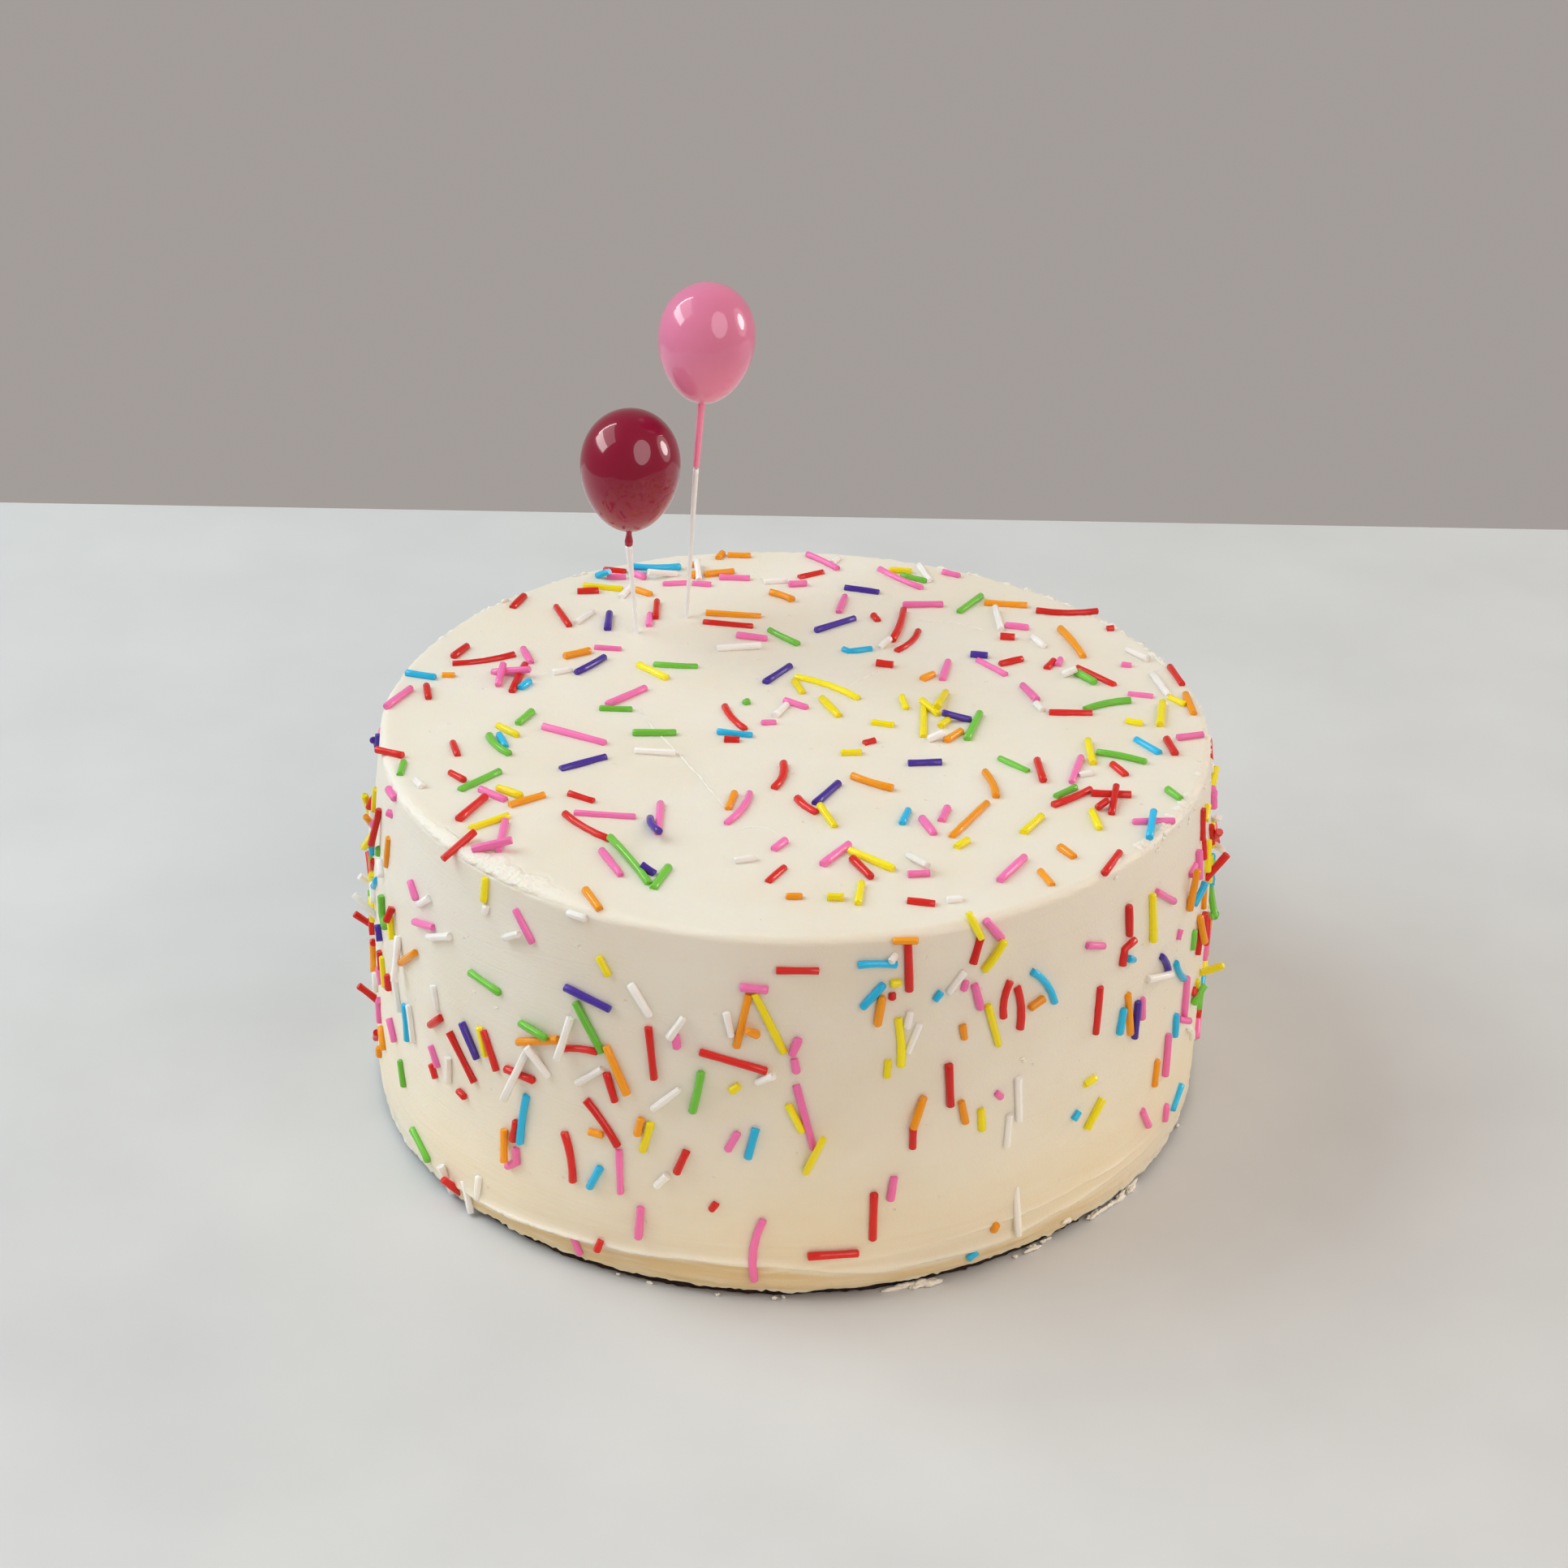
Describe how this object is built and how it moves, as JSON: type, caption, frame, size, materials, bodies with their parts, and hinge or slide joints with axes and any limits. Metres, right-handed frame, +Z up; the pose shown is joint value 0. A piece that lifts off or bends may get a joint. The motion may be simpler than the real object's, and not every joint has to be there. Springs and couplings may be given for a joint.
{
  "type": "birthday cake with balloon picks",
  "caption": "Round birthday cake in smooth pale buttercream with scattered coloured sprinkles, and two glossy balloon picks standing on thin sticks.",
  "frame": {"origin": "centre of the cake's flat underside, on the surface it stands on", "axes": "+Z up through the cake, front of the cake towards -Y, picks at the back left towards -X and +Y"},
  "size_m": [0.167, 0.1665, 0.1491],
  "materials": {
    "icing": "smooth satin buttercream, pale ivory",
    "sponge": "matt dark chocolate crumb",
    "pink_gloss": "high gloss pink coat",
    "crimson_gloss": "high gloss crimson coat",
    "stick_plastic": "milky white plastic"
  },
  "bodies": {
    "root": {"frosted_cake": "icing", "sponge_foot": "sponge", "balloon_pink": "pink_gloss", "stick_pink": "stick_plastic", "balloon_crimson": "crimson_gloss", "stick_crimson": "stick_plastic"}
  },
  "joints": []
}
